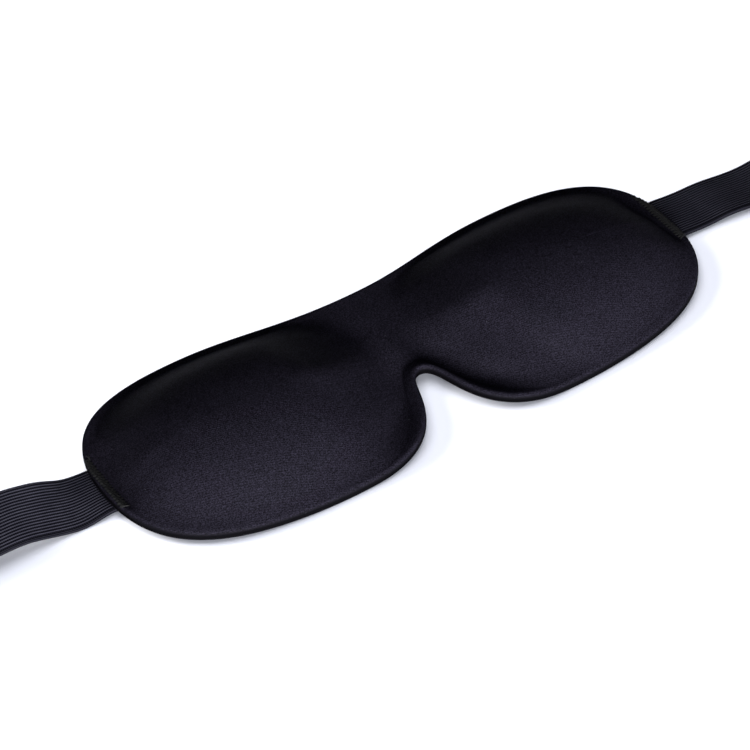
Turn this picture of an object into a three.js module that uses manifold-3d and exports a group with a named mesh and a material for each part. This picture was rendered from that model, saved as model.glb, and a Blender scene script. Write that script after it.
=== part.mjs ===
// Contoured sleep eye mask, laid flat with its front up and both strap halves straight out to the sides.
// Millimetres. X runs along the mask, +Y towards the forehead, +Z out of the front.
// The origin is midway between the two eye cavities, on the plane the mask rests on.

import * as THREE from 'three';
import { mergeVertices } from 'three/addons/utils/BufferGeometryUtils.js';
import Module from 'manifold-3d';

const wasm = await Module();
wasm.setup();

// ---- Driving dimensions ----

const HALF_LENGTH = 117.5;
const HALF_HEIGHT = 42.5;

// Half of the outline: brow dip, top of the lobe, outer tip, bottom of the lobe, top of the nose notch.
const BROW_DIP_Y = 32.6;
const LOBE_TOP_X = 62;
const TIP_Y = 1.3;
const LOBE_BOTTOM_X = 38;
const NOTCH_Y = -11.5;

// How far each smooth stretch of the outline runs on before it turns.
const BROW_DIP_REACH = 20;
const LOBE_TOP_INNER_REACH = 28;
const LOBE_TOP_OUTER_REACH = 36.5;
const TIP_UPPER_REACH = 31;
const TIP_LOWER_REACH = 38.5;
const LOBE_BOTTOM_OUTER_REACH = 45;
const LOBE_BOTTOM_INNER_REACH = 37;
const NOTCH_REACH = 9.4;

// Side view of the rim: it arches over the nose bridge and lifts towards the temples.
const BRIDGE_ARCH = 5.3;
const BRIDGE_ARCH_WIDTH = 28;
const TEMPLE_LIFT = 3.67;

// Moulded domes.
const DOME_HEIGHT = 15.5;
const SHOULDER_FULLNESS = 3;
const SHOULDER_ROUNDNESS = 0.75;
const FLANGE_WIDTH = 3.6;
const TEMPLE_FLANGE_EXTRA = 3.6;
const TEMPLE_FLANGE_SPREAD = 17;
const CREASE_HALF_GAP = 5.2;
const CREASE_FLARE = 0.015;
const CREASE_Y = 3;
const NOSE_SLOPE_LENGTH = 34;
const NOSE_SLOPE_POWER = 2.2;

// Laminate, measured upwards from the back of the rim.
const SKIN = 0.6;
const RIM_FOAM = 1.6;
const DOME_FOAM_EXTRA = 2.2;
const DOME_FOAM_POWER = 0.7;
const LAYER_GAP = 0.1;

// Elastic strap.
const STRAP_WIDTH = 21;
const STRAP_THICKNESS = 1.4;
const STRAP_Y = 5.5;
const STRAP_SEWN_LENGTH = 9;
const HINGE_X = 119;
const STRAP_LENGTH = 148;
const CUT_GAP = 0.3;

// Height of the strap's middle plane, as [distance from the fold, height] pairs.
const LEFT_LIE = [[9, 2.4], [20, 6.3], [34, 9.4], [58, 7.4], [84, 3.2]];
const RIGHT_LIE = [[10, 1.1], [21, 1.5], [36, 0.9], [54, 1.3]];
const LEFT_TWIST = 3.2;
const LEFT_TWIST_LENGTH = 75;
const LEFT_TWIST_LEAD = 0.7;

// Hook-and-loop closure at the strap ends.
const HOOK_TAB_LENGTH = 45;
const LOOP_TAB_LENGTH = 78;
const HOOK_TAB_Z = 2.5;
const LOOP_TAB_Z = 1.2;
const PATCH_WIDTH = 20;
const PATCH_THICKNESS = 1.6;
const PATCH_MARGIN = 1;

// Sewing thread.
const STITCH_INSET = 2;
const STITCH_WIDTH = 0.8;
const STITCH_HEIGHT = 0.4;
const STITCH_SINK = 0.1;
const STITCH_LEG = 0.6;
const STITCH_PITCH = 9;
const THREAD_CLEARANCE = 0.2;
const BARTACK_X = 114.1;
const BARTACK_Y = 4.5;
const BARTACK_WIDTH = 2.8;
const BARTACK_LENGTH = 26;
const BARTACK_PLATE = 0.5;
const BARTACK_WEB_WIDTH = 1;
const BARTACK_WEB_LENGTH = 19;
const BARTACK_GAP = 0.2;

// Mesh density.
const COLUMNS = 16;
const RING_SHARES = [1, 0.95, 0.85, 0.66, 0.38];
const SPINE_END_X = 78;
const SPINE_BRIDGE_WIDTH = 18;

// ---- Materials ----

const knit = new THREE.MeshStandardMaterial({ color: 0x16151b, roughness: 0.85, metalness: 0 });
const foam = new THREE.MeshStandardMaterial({ color: 0x2a292e, roughness: 0.95, metalness: 0 });
const elastic = new THREE.MeshStandardMaterial({ color: 0x1b1a22, roughness: 0.75, metalness: 0 });
const thread = new THREE.MeshStandardMaterial({ color: 0x222324, roughness: 0.6, metalness: 0 });
const hookTape = new THREE.MeshStandardMaterial({ color: 0x141416, roughness: 0.5, metalness: 0 });
const loopTape = new THREE.MeshStandardMaterial({ color: 0x18181b, roughness: 0.95, metalness: 0 });

// ---- Small tools ----

function solidFrom(geometry) {
  const bare = geometry.clone();
  bare.deleteAttribute('normal');
  bare.deleteAttribute('uv');
  const merged = mergeVertices(bare, 1e-4);
  const mesh = new wasm.Mesh({
    numProp: 3,
    vertProperties: new Float32Array(merged.attributes.position.array),
    triVerts: new Uint32Array(merged.index.array),
  });
  return new wasm.Manifold(mesh);
}

function geometryFrom(solid) {
  const mesh = solid.getMesh();
  return closedGeometry(Array.from(mesh.vertProperties), Array.from(mesh.triVerts));
}

function closedGeometry(positions, index) {
  const geometry = new THREE.BufferGeometry();
  geometry.setAttribute('position', new THREE.Float32BufferAttribute(positions, 3));
  geometry.setIndex(index);
  geometry.computeVertexNormals();
  return geometry;
}

function blockSolid(size, centre) {
  const geometry = new THREE.BoxGeometry(...size);
  geometry.translate(...centre);
  return solidFrom(geometry);
}

function mirrored(geometry) {
  const copy = geometry.clone();
  copy.scale(-1, 1, 1);
  const index = Array.from(copy.index.array);
  for (let i = 0; i < index.length; i += 3) {
    [index[i], index[i + 1]] = [index[i + 1], index[i]];
  }
  copy.setIndex(index);
  copy.computeVertexNormals();
  return copy;
}

function named(name, geometry, material) {
  const mesh = new THREE.Mesh(geometry, material);
  mesh.name = name;
  return mesh;
}

// ---- Mask outline and plan grid ----

function bezier(...corners) {
  return new THREE.CubicBezierCurve(...corners.map(([x, y]) => new THREE.Vector2(x, y)));
}

const upperEdge = new THREE.CurvePath();
upperEdge.add(bezier(
  [0, BROW_DIP_Y],
  [BROW_DIP_REACH, BROW_DIP_Y],
  [LOBE_TOP_X - LOBE_TOP_INNER_REACH, HALF_HEIGHT],
  [LOBE_TOP_X, HALF_HEIGHT],
));
upperEdge.add(bezier(
  [LOBE_TOP_X, HALF_HEIGHT],
  [LOBE_TOP_X + LOBE_TOP_OUTER_REACH, HALF_HEIGHT],
  [HALF_LENGTH, TIP_Y + TIP_UPPER_REACH],
  [HALF_LENGTH, TIP_Y],
));

const lowerEdge = new THREE.CurvePath();
lowerEdge.add(bezier(
  [0, NOTCH_Y],
  [NOTCH_REACH, NOTCH_Y],
  [LOBE_BOTTOM_X - LOBE_BOTTOM_INNER_REACH, -HALF_HEIGHT],
  [LOBE_BOTTOM_X, -HALF_HEIGHT],
));
lowerEdge.add(bezier(
  [LOBE_BOTTOM_X, -HALF_HEIGHT],
  [LOBE_BOTTOM_X + LOBE_BOTTOM_OUTER_REACH, -HALF_HEIGHT],
  [HALF_LENGTH, TIP_Y - TIP_LOWER_REACH],
  [HALF_LENGTH, TIP_Y],
));

// The grid closes on a spine that runs through both lobes and crosses the nose bridge.
const BRIDGE_MIDDLE_Y = (BROW_DIP_Y + NOTCH_Y) / 2;

function spinePoint(column) {
  const x = SPINE_END_X * column / COLUMNS;
  const bridge = BRIDGE_MIDDLE_Y * Math.exp(-((x / SPINE_BRIDGE_WIDTH) ** 2));
  const y = bridge + TIP_Y * (x / SPINE_END_X) ** 2;
  return new THREE.Vector2(x, y);
}

// Walks once round the outline: brow, right tip, notch, left tip.
const AROUND = 4 * COLUMNS;

function spokeAt(i) {
  const quarter = Math.floor(i / COLUMNS) % 4;
  const step = i % COLUMNS;
  const rising = quarter % 2 === 0;
  const share = rising ? step : COLUMNS - step;
  const side = quarter < 2 ? 1 : -1;
  const upper = quarter === 0 || quarter === 3;
  const edge = (upper ? upperEdge : lowerEdge).getPointAt(share / COLUMNS);
  return { edge: new THREE.Vector2(side * edge.x, edge.y), column: side * share };
}

const spokes = Array.from({ length: AROUND }, (_, i) => spokeAt(i));

function flangeWidth(edge) {
  const nearTip = Math.exp(-(((edge.y - STRAP_Y) / TEMPLE_FLANGE_SPREAD) ** 4));
  const outward = THREE.MathUtils.smoothstep(Math.abs(edge.x), HALF_LENGTH - 30, HALF_LENGTH - 8);
  return FLANGE_WIDTH + TEMPLE_FLANGE_EXTRA * nearTip * outward;
}

// Plan positions with their share of the way out across the dome: 0 on the spine, 1 on the flange.
function planGrid() {
  const rings = [spokes.map(({ edge }) => ({ x: edge.x, y: edge.y, share: 1 }))];
  for (const ringShare of RING_SHARES) {
    rings.push(spokes.map(({ edge, column }) => {
      const spine = spinePoint(column);
      const flangeShare = 1 - flangeWidth(edge) / edge.distanceTo(spine);
      const point = spine.lerp(edge, ringShare * flangeShare);
      return { x: point.x, y: point.y, share: ringShare };
    }));
  }
  const spine = [];
  for (let column = -COLUMNS; column <= COLUMNS; column++) {
    const point = spinePoint(column);
    spine.push({ x: point.x, y: point.y, share: 0 });
  }
  return [...rings, spine].flat();
}

const grid = planGrid();

function gridIndex(ring, i) {
  if (ring <= RING_SHARES.length) {
    return ring * AROUND + (i % AROUND);
  }
  return ring * AROUND + spokes[i % AROUND].column + COLUMNS;
}

// ---- Mask heights ----

const LOWEST_X_SQUARED = BRIDGE_ARCH_WIDTH ** 2
  * Math.log(BRIDGE_ARCH * HALF_LENGTH ** 2 / (TEMPLE_LIFT * BRIDGE_ARCH_WIDTH ** 2));

function rimRise(xSquared) {
  return BRIDGE_ARCH * Math.exp(-xSquared / BRIDGE_ARCH_WIDTH ** 2)
    + TEMPLE_LIFT * xSquared / HALF_LENGTH ** 2;
}

// Back of the rim: its lowest places rest on the plane z = 0.
function rimBack(x) {
  return rimRise(x ** 2) - rimRise(LOWEST_X_SQUARED);
}

// Rise of the dome above the flange, as a share of its full height.
function domeShare({ x, y, share }) {
  const crease = CREASE_HALF_GAP + CREASE_FLARE * (y - CREASE_Y) ** 2;
  const alongNose = THREE.MathUtils.clamp((Math.abs(x) - crease) / NOSE_SLOPE_LENGTH, 0, 1);
  const noseSlope = 1 - (1 - alongNose) ** NOSE_SLOPE_POWER;
  return noseSlope * (1 - share ** SHOULDER_FULLNESS) ** SHOULDER_ROUNDNESS;
}

function frontHeight(point, depth) {
  return rimBack(point.x) + 2 * SKIN + 2 * LAYER_GAP + RIM_FOAM - depth + DOME_HEIGHT * domeShare(point);
}

function rearHeight(point, rise) {
  const dome = domeShare(point);
  return rimBack(point.x) + rise + DOME_HEIGHT * dome - DOME_FOAM_EXTRA * dome ** DOME_FOAM_POWER;
}

// A closed sheet over the plan grid between two height functions.
function lamina(topHeight, bottomHeight) {
  const positions = [];
  for (const height of [topHeight, bottomHeight]) {
    for (const point of grid) {
      positions.push(point.x, point.y, height(point));
    }
  }
  const under = grid.length;
  const index = [];
  for (let i = 0; i < AROUND; i++) {
    for (let ring = 0; ring <= RING_SHARES.length; ring++) {
      const a = gridIndex(ring, i);
      const b = gridIndex(ring, i + 1);
      const c = gridIndex(ring + 1, i + 1);
      const d = gridIndex(ring + 1, i);
      // The two halves split their quads the opposite way, so that the mask mirrors itself.
      const corners = i < AROUND / 2 ? [a, b, c, a, c, d] : [a, b, d, b, c, d];
      index.push(...corners.map((corner) => under + corner));
      index.push(...corners.reverse());
    }
    const a = gridIndex(0, i);
    const b = gridIndex(0, i + 1);
    index.push(a, b, under + b, a, under + b, under + a);
  }
  return closedGeometry(positions, index);
}

const cover = lamina((p) => frontHeight(p, 0), (p) => frontHeight(p, SKIN));
const core = lamina(
  (p) => frontHeight(p, SKIN + LAYER_GAP),
  (p) => rearHeight(p, SKIN + LAYER_GAP),
);
const lining = lamina((p) => rearHeight(p, SKIN), (p) => rearHeight(p, 0));

// ---- Straps, built on the right side and mirrored for the left ----

function anchorHeight(x) {
  return rimBack(x) - LAYER_GAP - STRAP_THICKNESS / 2;
}

const HINGE_Z = anchorHeight(HINGE_X);

// A flat ribbon along X. Each station is { x, z, half, twist }.
function ribbon(stations) {
  const positions = [];
  for (const { x, z, half, twist } of stations) {
    for (const [side, face] of [[-1, -1], [1, -1], [1, 1], [-1, 1]]) {
      positions.push(x, STRAP_Y + side * STRAP_WIDTH / 2, z + side * twist + face * half);
    }
  }
  const index = [0, 2, 1, 0, 3, 2];
  for (let i = 0; i < stations.length - 1; i++) {
    for (let corner = 0; corner < 4; corner++) {
      const a = 4 * i + corner;
      const b = 4 * i + (corner + 1) % 4;
      index.push(a, b, b + 4, a, b + 4, a + 4);
    }
  }
  const last = 4 * (stations.length - 1);
  index.push(last, last + 1, last + 2, last, last + 2, last + 3);
  return closedGeometry(positions, index);
}

// The sewn end lies flat under the rim and stops just short of the fold.
const ANCHOR_OUTER_X = HINGE_X - STRAP_THICKNESS / 2 - CUT_GAP;
const ANCHOR_STATIONS = 5;

function strapAnchor() {
  const stations = [];
  for (let i = 0; i < ANCHOR_STATIONS; i++) {
    const x = ANCHOR_OUTER_X - STRAP_SEWN_LENGTH * (1 - i / (ANCHOR_STATIONS - 1));
    stations.push({ x, z: anchorHeight(x), half: STRAP_THICKNESS / 2, twist: 0 });
  }
  return ribbon(stations);
}

// The free band starts with a half-round edge centred on the fold's axis.
const NOSE_ANGLES = [75, 50, 25];
const BAND_STEP = 4;

function strapBand(lie, tabLength, tabZ, twistAt) {
  const length = STRAP_LENGTH - tabLength;
  const knots = [[0, HINGE_Z], ...lie, [length, tabZ]];
  const profile = new THREE.SplineCurve(knots.map(([d, z]) => new THREE.Vector2(d, z)));
  const radius = STRAP_THICKNESS / 2;
  const stations = NOSE_ANGLES.map((degrees) => {
    const angle = THREE.MathUtils.degToRad(degrees);
    return {
      x: HINGE_X - radius * Math.sin(angle),
      z: HINGE_Z,
      half: radius * Math.cos(angle),
      twist: 0,
    };
  });
  const count = Math.round(length / BAND_STEP);
  for (let i = 0; i <= count; i++) {
    const { x: d, y: z } = profile.getPointAt(i / count);
    stations.push({ x: HINGE_X + d, z, half: radius, twist: twistAt(d) });
  }
  return ribbon(stations);
}

function leftTwist(d) {
  const share = Math.min(1, d / LEFT_TWIST_LENGTH) ** LEFT_TWIST_LEAD;
  return LEFT_TWIST * Math.sin(Math.PI * share) ** 2;
}

// ---- Closure tabs ----

function threadRing(length, width, thickness) {
  const shape = new THREE.Shape();
  shape.moveTo(-length / 2, -width / 2);
  shape.lineTo(length / 2, -width / 2);
  shape.lineTo(length / 2, width / 2);
  shape.lineTo(-length / 2, width / 2);
  shape.closePath();
  const hole = new THREE.Path();
  const innerX = length / 2 - thickness;
  const innerY = width / 2 - thickness;
  hole.moveTo(-innerX, -innerY);
  hole.lineTo(-innerX, innerY);
  hole.lineTo(innerX, innerY);
  hole.lineTo(innerX, -innerY);
  hole.closePath();
  shape.holes.push(hole);
  return shape;
}

function ringSolid(length, width, thickness, low, high) {
  const shape = threadRing(length, width, thickness);
  const geometry = new THREE.ExtrudeGeometry(shape, { depth: high - low, bevelEnabled: false });
  geometry.translate(0, 0, low);
  return solidFrom(geometry);
}

// Needle holes along the seam's rectangle, about one pitch apart.
function seamPlaces(length, width) {
  const places = [];
  const alongX = Math.round(length / STITCH_PITCH);
  const alongY = Math.round(width / STITCH_PITCH);
  for (let i = 0; i <= alongX; i++) {
    const x = length * (i / alongX - 0.5);
    places.push([x, -width / 2], [x, width / 2]);
  }
  for (let i = 1; i < alongY; i++) {
    const y = width * (i / alongY - 0.5);
    places.push([-length / 2, y], [length / 2, y]);
  }
  return places;
}

// The non-stretching end of a strap with its tape patch. face is +1 for a patch on the front, -1 on the back.
function closureTab(tabLength, tabZ, face) {
  const webLength = tabLength - CUT_GAP;
  const patchLength = webLength - 2 * PATCH_MARGIN;
  const seamLength = patchLength - 2 * STITCH_INSET;
  const seamWidth = PATCH_WIDTH - 2 * STITCH_INSET;
  const halfWeb = STRAP_THICKNESS / 2;
  const patchLow = halfWeb + LAYER_GAP;
  const patchHigh = patchLow + PATCH_THICKNESS;

  // Built with the patch on top, then turned over where it belongs on the back.
  const sunkHigh = patchHigh - STITCH_SINK;
  const sunkLow = sunkHigh - STITCH_HEIGHT;
  const backHigh = -halfWeb - LAYER_GAP;
  const backLow = backHigh - STITCH_HEIGHT;
  const outerLength = seamLength + STITCH_WIDTH;
  const outerWidth = seamWidth + STITCH_WIDTH;

  let seam = ringSolid(outerLength, outerWidth, STITCH_WIDTH, sunkLow, sunkHigh);
  seam = seam.add(ringSolid(outerLength, outerWidth, STITCH_WIDTH, backLow, backHigh));
  const groove = ringSolid(
    outerLength + 2 * THREAD_CLEARANCE,
    outerWidth + 2 * THREAD_CLEARANCE,
    STITCH_WIDTH + 2 * THREAD_CLEARANCE,
    sunkLow - THREAD_CLEARANCE,
    patchHigh + 1,
  );
  let web = blockSolid([webLength, STRAP_WIDTH, STRAP_THICKNESS], [0, 0, 0]);
  let patch = blockSolid(
    [patchLength, PATCH_WIDTH, PATCH_THICKNESS],
    [0, 0, (patchLow + patchHigh) / 2],
  ).subtract(groove);
  const legHeight = sunkHigh - backLow;
  const legMiddle = (sunkHigh + backLow) / 2;
  const holeSize = STITCH_LEG + 2 * THREAD_CLEARANCE;
  for (const [x, y] of seamPlaces(seamLength, seamWidth)) {
    seam = seam.add(blockSolid([STITCH_LEG, STITCH_LEG, legHeight], [x, y, legMiddle]));
    const hole = blockSolid([holeSize, holeSize, 2 * patchHigh], [x, y, 0]);
    web = web.subtract(hole);
    patch = patch.subtract(hole);
  }
  const middleX = HINGE_X + STRAP_LENGTH - webLength / 2;
  return [web, patch, seam].map((solid) => {
    const geometry = geometryFrom(solid);
    if (face < 0) {
      geometry.rotateX(Math.PI);
    }
    geometry.translate(middleX, STRAP_Y, tabZ);
    return geometry;
  });
}

// ---- Bartacks: thread packed through the rim and the sewn strap end ----

const COVER_TOP_RISE = 2 * SKIN + 2 * LAYER_GAP + RIM_FOAM;
const BARTACK_TOP = rimBack(BARTACK_X) + COVER_TOP_RISE + BARTACK_GAP;
const BARTACK_BOTTOM = rimBack(BARTACK_X) - LAYER_GAP - STRAP_THICKNESS - BARTACK_GAP;

function bartack() {
  const frontPlate = blockSolid(
    [BARTACK_WIDTH, BARTACK_LENGTH, BARTACK_PLATE],
    [BARTACK_X, BARTACK_Y, BARTACK_TOP + BARTACK_PLATE / 2],
  );
  const rearPlate = blockSolid(
    [BARTACK_WIDTH, STRAP_WIDTH, BARTACK_PLATE],
    [BARTACK_X, STRAP_Y, BARTACK_BOTTOM - BARTACK_PLATE / 2],
  );
  const web = blockSolid(
    [BARTACK_WEB_WIDTH, BARTACK_WEB_LENGTH, BARTACK_TOP - BARTACK_BOTTOM + BARTACK_PLATE],
    [BARTACK_X, STRAP_Y, (BARTACK_TOP + BARTACK_BOTTOM) / 2],
  );
  return geometryFrom(frontPlate.add(web).add(rearPlate));
}

const SLOT_DEPTH = 40;

function slotted(geometry, sides) {
  let solid = solidFrom(geometry);
  for (const side of sides) {
    solid = solid.subtract(blockSolid(
      [BARTACK_WEB_WIDTH + 2 * CUT_GAP, BARTACK_WEB_LENGTH + 2 * CUT_GAP, SLOT_DEPTH],
      [side * BARTACK_X, STRAP_Y, 0],
    ));
  }
  return geometryFrom(solid);
}

// ---- Assembly ----

const sewnEnd = slotted(strapAnchor(), [1]);
const tack = bartack();
const [hookWeb, hookTapePatch, hookSeam] = closureTab(HOOK_TAB_LENGTH, HOOK_TAB_Z, -1);
const [loopWeb, loopTapePatch, loopSeam] = closureTab(LOOP_TAB_LENGTH, LOOP_TAB_Z, 1);
const leftBand = strapBand(LEFT_LIE, HOOK_TAB_LENGTH, HOOK_TAB_Z, leftTwist);
const rightBand = strapBand(RIGHT_LIE, LOOP_TAB_LENGTH, LOOP_TAB_Z, () => 0);

const mask = new THREE.Group();
mask.add(named('front_cover', slotted(cover, [1, -1]), knit));
mask.add(named('foam_core', slotted(core, [1, -1]), foam));
mask.add(named('rear_lining', slotted(lining, [1, -1]), knit));
mask.add(named('left_strap_anchor', mirrored(sewnEnd), elastic));
mask.add(named('right_strap_anchor', sewnEnd, elastic));
mask.add(named('left_bartack', mirrored(tack), thread));
mask.add(named('right_bartack', tack, thread));

const leftStrap = new THREE.Group();
leftStrap.add(named('left_strap_band', mirrored(leftBand), elastic));
leftStrap.add(named('left_strap_tab', mirrored(hookWeb), elastic));
leftStrap.add(named('hook_patch', mirrored(hookTapePatch), hookTape));
leftStrap.add(named('hook_patch_stitching', mirrored(hookSeam), thread));

const rightStrap = new THREE.Group();
rightStrap.add(named('right_strap_band', rightBand, elastic));
rightStrap.add(named('right_strap_tab', loopWeb, elastic));
rightStrap.add(named('loop_patch', loopTapePatch, loopTape));
rightStrap.add(named('loop_patch_stitching', loopSeam, thread));

const sleepMask = new THREE.Group();
sleepMask.add(mask, leftStrap, rightStrap);

export default sleepMask;
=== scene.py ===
"""Looks for the contoured sleep eye mask: knit skins over moulded foam, ribbed elastic, satin bartacks and a
hook-and-loop closure. Shapes are worked out in millimetres in the CAD's frame and stored in metres."""

import math

import bpy
import numpy as np
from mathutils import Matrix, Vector


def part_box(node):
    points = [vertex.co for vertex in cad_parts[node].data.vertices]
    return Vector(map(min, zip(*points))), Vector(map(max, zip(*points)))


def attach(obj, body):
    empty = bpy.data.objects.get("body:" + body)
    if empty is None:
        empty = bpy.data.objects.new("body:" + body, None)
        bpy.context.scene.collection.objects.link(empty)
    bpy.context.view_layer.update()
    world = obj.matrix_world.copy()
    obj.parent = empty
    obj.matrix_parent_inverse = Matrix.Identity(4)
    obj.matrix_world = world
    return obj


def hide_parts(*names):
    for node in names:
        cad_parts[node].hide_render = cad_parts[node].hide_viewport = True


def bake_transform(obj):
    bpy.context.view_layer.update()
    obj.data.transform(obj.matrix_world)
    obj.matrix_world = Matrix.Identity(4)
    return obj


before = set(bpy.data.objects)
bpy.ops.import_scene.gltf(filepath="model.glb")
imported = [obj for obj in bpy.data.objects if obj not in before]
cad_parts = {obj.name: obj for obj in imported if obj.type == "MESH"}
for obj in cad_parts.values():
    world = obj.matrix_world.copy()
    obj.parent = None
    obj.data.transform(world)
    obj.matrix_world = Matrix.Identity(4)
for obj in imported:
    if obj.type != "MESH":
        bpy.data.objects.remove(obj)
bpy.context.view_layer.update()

MM = 0.001
RANDOM = np.random.default_rng(11)


def box_mm(node):
    """Lowest and highest corners of a CAD node, in millimetres."""
    low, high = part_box(node)
    return np.array(low) / MM, np.array(high) / MM


def smoothstep(low, high, value):
    share = np.clip((value - low) / (high - low), 0, 1)
    return share * share * (3 - 2 * share)


def bell(value, middle, width):
    return np.exp(-(((value - middle) / width) ** 2))


# ---- Plan of the mask: half of its outline, mirrored for the other half ----

HALF_LENGTH, HALF_HEIGHT, _ = box_mm("front_cover")[1]
BROW_DIP_Y = 32.6
LOBE_TOP_X = 62.0
TIP_Y = 1.3
LOBE_BOTTOM_X = 38.0
NOTCH_Y = -11.5
UPPER_EDGE = [
    [(0, BROW_DIP_Y), (20, BROW_DIP_Y), (34, HALF_HEIGHT), (LOBE_TOP_X, HALF_HEIGHT)],
    [(LOBE_TOP_X, HALF_HEIGHT), (98.5, HALF_HEIGHT), (HALF_LENGTH, TIP_Y + 31), (HALF_LENGTH, TIP_Y)],
]
LOWER_EDGE = [
    [(0, NOTCH_Y), (9.4, NOTCH_Y), (1, -HALF_HEIGHT), (LOBE_BOTTOM_X, -HALF_HEIGHT)],
    [(LOBE_BOTTOM_X, -HALF_HEIGHT), (83, -HALF_HEIGHT), (HALF_LENGTH, TIP_Y - 38.5), (HALF_LENGTH, TIP_Y)],
]
SPINE_END_X = 78.0
SPINE_BRIDGE_WIDTH = 18.0
SPINE_INSET = 30.0
COLUMNS = 88
SKIN_INSETS = [0.0, 0.22, 0.5, 0.9, 1.4, 2.1, 2.9]
FOAM_INSETS = [0.32, 0.45, 0.65, 0.95, 1.4, 2.1, 2.9]
DOME_SHARES = [1.0, 0.985, 0.96, 0.93, 0.89, 0.84, 0.78, 0.71, 0.63, 0.54, 0.44, 0.33, 0.22, 0.11]


def even_points(curves, count):
    """Points at equal distances along a chain of cubic curves."""
    t = np.linspace(0, 1, 500)[:, None]
    line = []
    for corners in curves:
        a, b, c, d = (np.array(corner, float) for corner in corners)
        line.append((1 - t) ** 3 * a + 3 * (1 - t) ** 2 * t * b + 3 * (1 - t) * t * t * c + t**3 * d)
    line = np.vstack(line)
    walked = np.r_[0, np.cumsum(np.linalg.norm(np.diff(line, axis=0), axis=1))]
    at = np.linspace(0, walked[-1], count + 1)
    return np.column_stack([np.interp(at, walked, line[:, k]) for k in (0, 1)])


def spine_points(columns):
    """The line through both lobes and over the nose bridge that the grid closes on."""
    x = SPINE_END_X * columns / COLUMNS
    bridge = (BROW_DIP_Y + NOTCH_Y) / 2 * bell(x, 0, SPINE_BRIDGE_WIDTH)
    return np.column_stack([x, bridge + TIP_Y * (x / SPINE_END_X) ** 2])


def notch_zone(x, y):
    """1 beside the nose notch, where the flange is wide and flares, falling to 0 elsewhere."""
    return bell(np.abs(x), 10.0, 19.0) * smoothstep(2.0, -12.0, y)


def flange_width(edge):
    """Flat border round the domes: wide by the straps and the notch, thin along the lower rim."""
    near_strap = np.exp(-(((edge[:, 1] - 5.5) / 17) ** 4))
    outward = smoothstep(HALF_LENGTH - 30, HALF_LENGTH - 8, np.abs(edge[:, 0]))
    plain = 1.0 + 2.2 * smoothstep(-5, 25, edge[:, 1])
    return plain + 4.5 * near_strap * outward + 4.0 * notch_zone(edge[:, 0], edge[:, 1])


def outline():
    """Points round the rim with the spine column that each one's spoke runs to."""
    upper = even_points(UPPER_EDGE, COLUMNS)
    lower = even_points(LOWER_EDGE, COLUMNS)
    mirror = np.array([-1, 1])
    points = np.vstack([upper[:-1], lower[:0:-1], lower[:-1] * mirror, upper[:0:-1] * mirror])
    rising = np.arange(COLUMNS)
    falling = np.arange(COLUMNS, 0, -1)
    return points, np.r_[rising, falling, -rising, -falling]


RIM, SPOKE_COLUMN = outline()
AROUND = len(RIM)
RINGS = len(SKIN_INSETS) + len(DOME_SHARES)


def rim_normals():
    along = np.roll(RIM, -1, axis=0) - np.roll(RIM, 1, axis=0)
    along /= np.linalg.norm(along, axis=1)[:, None]
    return np.column_stack([-along[:, 1], along[:, 0]])


def plan_grid(insets):
    """x, y, distance in from the rim and share of the way out across the dome, ring by ring."""
    spine = spine_points(SPOKE_COLUMN)
    reach = np.linalg.norm(RIM - spine, axis=1)
    flange = flange_width(RIM)
    outward = rim_normals()
    squeeze = np.minimum(1, 0.9 * flange / insets[-1])
    steps_in = [inset * squeeze / reach for inset in insets]
    steps_in += [1 - share * (1 - flange / reach) for share in DOME_SHARES]
    rings = []
    for inward in steps_in:
        along_spoke = spine + (RIM - spine) * (1 - inward)[:, None]
        along_normal = RIM - outward * (inward * reach)[:, None]
        mix = smoothstep(0, 0.45, inward)[:, None]
        xy = along_normal * (1 - mix) + along_spoke * mix
        dome = np.clip((1 - inward) / (1 - flange / reach), 0, 1)
        rings.append(np.column_stack([xy, inward * reach, dome]))
    middle = spine_points(np.arange(-COLUMNS, COLUMNS + 1))
    rings.append(np.column_stack([middle, np.full(len(middle), SPINE_INSET), np.zeros(len(middle))]))
    return np.vstack(rings).T


def grid_quads():
    """Quads of one sheet over the grid, facing up."""
    spoke = np.arange(AROUND)
    following = (spoke + 1) % AROUND
    quads = []
    for ring in range(RINGS - 1):
        outer, inner = ring * AROUND, (ring + 1) * AROUND
        quads.append(np.column_stack([inner + spoke, inner + following, outer + following, outer + spoke]))
    outer, inner = (RINGS - 1) * AROUND, RINGS * AROUND + COLUMNS
    first, second = inner + SPOKE_COLUMN[spoke], inner + SPOKE_COLUMN[following]
    quads.append(np.column_stack([first, second, outer + following, outer + spoke]))
    return np.vstack(quads)


QUADS = grid_quads()
SKIN_GRID = plan_grid(SKIN_INSETS)
FOAM_GRID = plan_grid(FOAM_INSETS)

# ---- Heights of the mask ----

BRIDGE_ARCH = 5.3
BRIDGE_ARCH_WIDTH = 28.0
TEMPLE_LIFT = 3.67
DOME_HEIGHT = 15.8
NOSE_SLOPE_LENGTH = 34.0
VALLEY_DEPTH = 1.5
RIM_THICKNESS = 3.0
DOME_FOAM_EXTRA = 2.2
SKIN = 0.55
BOND = 0.05
PRESS_DEPTH = 0.6
PRESS_ROLL = 0.9
LIP_FILL = 0.5
LINING_CURL = 0.45
DOME_RELAX_ROUNDS = 40
CREASE_DEPTH = 1.5
CREASE_NEAREST_X = 5.2
CREASE_NEAREST_Y = 3.0
CREASE_BEND = 0.015
NOSE_SLOPE_POWER = 2.2
SHOULDER_POWER = 5.5
LOBE_FALL = 0.78
LOBE_MIDDLE_X = 60.0
LOBE_HALF_LENGTH = 56.0
CLOTH_FRAMES = 18
CLOTH_CAP = 1.6

TACK_LOW, TACK_HIGH = box_mm("right_bartack")
TACK_X = (TACK_LOW[0] + TACK_HIGH[0]) / 2
TACK_Y = (TACK_LOW[1] + TACK_HIGH[1]) / 2
TACK_DENT = 0.5


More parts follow.
